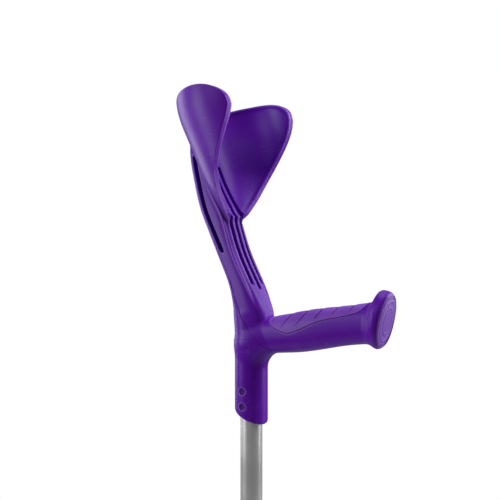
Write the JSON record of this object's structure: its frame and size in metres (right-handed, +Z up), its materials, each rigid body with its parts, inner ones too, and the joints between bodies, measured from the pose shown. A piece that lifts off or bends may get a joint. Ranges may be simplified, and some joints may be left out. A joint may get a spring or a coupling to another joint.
{
  "type": "forearm crutch",
  "caption": "Height-adjustable forearm crutch: one-piece moulded sleeve, leaning spine, hand grip and open winged cuff on a two-part tube leg with a rubber foot.",
  "frame": {"origin": "on the tube's axis, at the middle of the foot's tread, where it meets the ground", "axes": "+Z up along the tube, +X the way the hand grip points, which is forwards in use, +Y to the user's left"},
  "size_m": [0.2274, 0.1262, 1.087],
  "materials": {
    "purple_plastic": "fine-grained moulded polypropylene, semi-matt",
    "soft_purple": "soft thermoplastic elastomer, matt, with shallow diagonal waves",
    "purple_cap": "moulded plastic, semi-matt",
    "purple_pin": "moulded plastic, semi-matt",
    "anodised_tube": "natural anodised, satin, drawn along the tube",
    "grey_plastic": "moulded, matt",
    "steel": "plated",
    "grey_rubber": "moulded rubber, matt"
  },
  "bodies": {
    "handle_assembly": {"upper_moulding": "purple_plastic", "grip_pad": "soft_purple", "grip_end_cap": "purple_cap", "fixing_pin_upper": "purple_pin", "fixing_pin_lower": "purple_pin", "upper_tube": "anodised_tube", "tube_end_collar": "grey_plastic"},
    "leg": {"lower_tube": "anodised_tube", "guide_bush": "grey_plastic", "snap_spring": "steel", "ferrule": "grey_rubber", "ferrule_washer": "steel"},
    "button": {"snap_button": "steel"}
  },
  "joints": [
    {"name": "leg_height", "type": "slide", "parent": "handle_assembly", "child": "leg", "axis": [0, 0, -1], "range_m": [-0.12, 0.12]},
    {"name": "button_press", "type": "slide", "parent": "leg", "child": "button", "axis": [1, 0, 0], "range_m": [0, 0.0042], "stiffness_N_per_m": 600, "springref_m": -0.006, "deforming": ["snap_spring"]}
  ]
}
